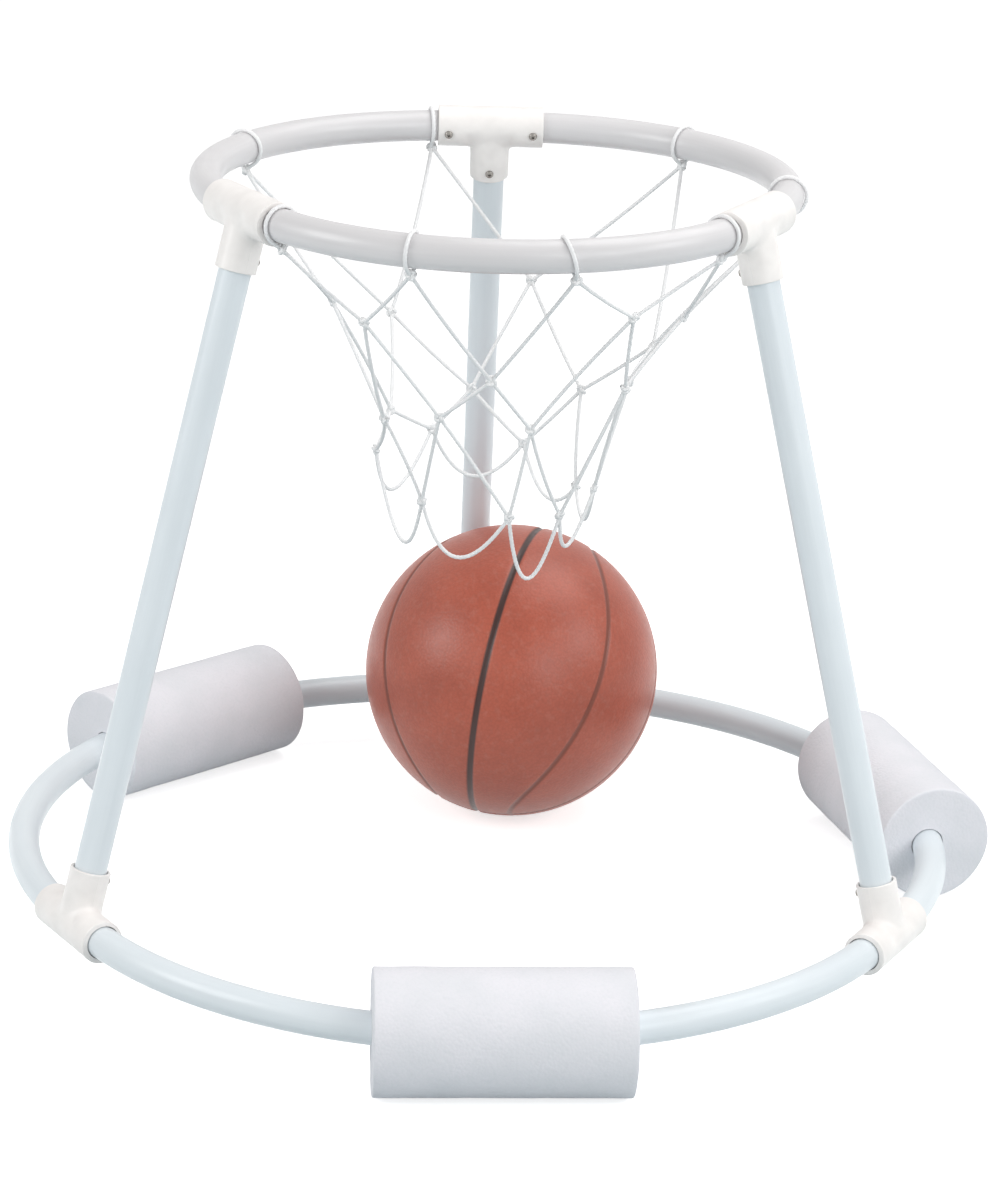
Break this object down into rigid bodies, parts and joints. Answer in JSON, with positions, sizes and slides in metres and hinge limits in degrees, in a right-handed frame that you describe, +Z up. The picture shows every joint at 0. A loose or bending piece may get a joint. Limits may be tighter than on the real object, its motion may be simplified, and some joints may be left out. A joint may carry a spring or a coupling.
{
  "type": "poolside basketball hoop",
  "caption": "Floating or poolside basketball hoop: pipe rim on leaning legs over a foam-floated base ring, with a knotted net and a ball.",
  "frame": {"origin": "middle of the footprint, on the surface that the floats rest on", "axes": "+Z up; -Y towards the front float, where a player stands; +Y towards the back leg; +X to the player's right"},
  "size_m": [0.8492, 0.84, 0.6459],
  "materials": {
    "rim_pipe": "extruded white pipe plastic, faintly lavender, low gloss",
    "leg_pipe": "extruded white pipe plastic, faintly blue, low gloss",
    "fitting": "injection-moulded ivory plastic, low gloss",
    "foam": "closed-cell white foam with a fine cell grain",
    "screw_steel": "zinc-plated steel",
    "net_cord": "braided white polyester cord",
    "ball_rubber": "moulded brown-orange rubber, matt, with black seams",
    "valve_rubber": "black rubber valve"
  },
  "bodies": {
    "frame": {"rim_tube_front": "rim_pipe", "rim_tube_left": "rim_pipe", "rim_tube_right": "rim_pipe", "rim_tee_back": "fitting", "rim_tee_left": "fitting", "rim_tee_right": "fitting", "leg_back": "leg_pipe", "leg_left": "leg_pipe", "leg_right": "leg_pipe", "base_tee_back": "fitting", "base_tee_left": "fitting", "base_tee_right": "fitting", "base_tube_front": "leg_pipe", "base_tube_left": "leg_pipe", "base_tube_right": "leg_pipe", "rim_tee_back_screw_a": "screw_steel", "rim_tee_back_screw_b": "screw_steel", "rim_tee_back_screw_c": "screw_steel", "rim_tee_left_screw_a": "screw_steel", "rim_tee_left_screw_b": "screw_steel", "rim_tee_left_screw_c": "screw_steel", "rim_tee_right_screw_a": "screw_steel", "rim_tee_right_screw_b": "screw_steel", "rim_tee_right_screw_c": "screw_steel", "base_tee_back_screw_a": "screw_steel", "base_tee_back_screw_b": "screw_steel", "base_tee_back_screw_c": "screw_steel", "base_tee_left_screw_a": "screw_steel", "base_tee_left_screw_b": "screw_steel", "base_tee_left_screw_c": "screw_steel", "base_tee_right_screw_a": "screw_steel", "base_tee_right_screw_b": "screw_steel", "base_tee_right_screw_c": "screw_steel", "net": "net_cord"},
    "front_float": {"float_front": "foam"},
    "left_float": {"float_left": "foam"},
    "right_float": {"float_right": "foam"},
    "ball": {"ball_shell": "ball_rubber", "ball_valve": "valve_rubber"}
  },
  "joints": [
    {"name": "front_float_slides", "type": "hinge", "parent": "frame", "child": "front_float", "pos_m": [-0.02172, -0.00398, 0.0508], "axis": [0, 0, 1], "range_deg": [-37.7, 34.3]},
    {"name": "left_float_slides", "type": "hinge", "parent": "frame", "child": "left_float", "pos_m": [-0.04272, 0.0324, 0.0508], "axis": [0, 0, 1], "range_deg": [-18.3, 53.7]},
    {"name": "right_float_slides", "type": "hinge", "parent": "frame", "child": "right_float", "pos_m": [-0.00072, 0.0324, 0.0508], "axis": [0, 0, 1], "range_deg": [-21.2, 50.8]},
    {"name": "ball_rolls", "type": "slide", "parent": "frame", "child": "ball", "axis": [0, -1, 0], "range_m": [0, 0.4]}
  ]
}
